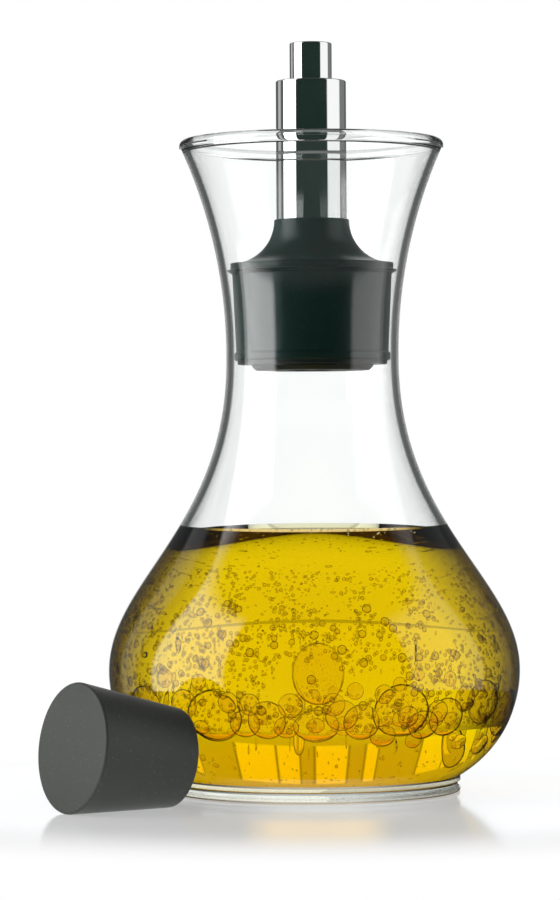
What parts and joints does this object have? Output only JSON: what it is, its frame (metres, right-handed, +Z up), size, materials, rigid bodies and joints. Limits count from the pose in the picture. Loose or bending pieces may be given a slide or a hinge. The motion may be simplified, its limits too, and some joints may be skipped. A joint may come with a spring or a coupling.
{
  "type": "salad dressing shaker",
  "caption": "Waisted glass carafe with oil and vinegar, a silicone stopper with a steel pour spout, and its tapered rubber cap lying beside it.",
  "frame": {"origin": "centre of the carafe's foot, on the table", "axes": "+Z up along the carafe's and the spout's axis; the cap lies on the table towards -X and -Y"},
  "size_m": [0.1068, 0.1098, 0.1697],
  "materials": {
    "glass": "clear, fire-polished",
    "vinegar": "clear amber liquid",
    "oil": "golden green liquid with bubbles",
    "core_plastic": "moulded, satin",
    "silicone": "matte silicone",
    "steel": "mirror-polished stainless steel",
    "cap_rubber": "matte rubber, fine grain"
  },
  "bodies": {
    "carafe": {"carafe": "glass", "vinegar_layer": "vinegar", "oil_layer": "oil"},
    "stopper": {"stopper_core": "core_plastic", "stopper_seal": "silicone", "spout_sleeve": "steel", "pour_tube": "steel"},
    "cap": {"cap": "cap_rubber"}
  },
  "joints": [
    {"name": "stopper_pull", "type": "slide", "parent": "carafe", "child": "stopper", "axis": [0, 0, 1], "range_m": [0, 0.06]},
    {"name": "cap_slide", "type": "slide", "parent": "carafe", "child": "cap", "axis": [-0.829, -0.5592, 0], "range_m": [0, 0.04]}
  ]
}
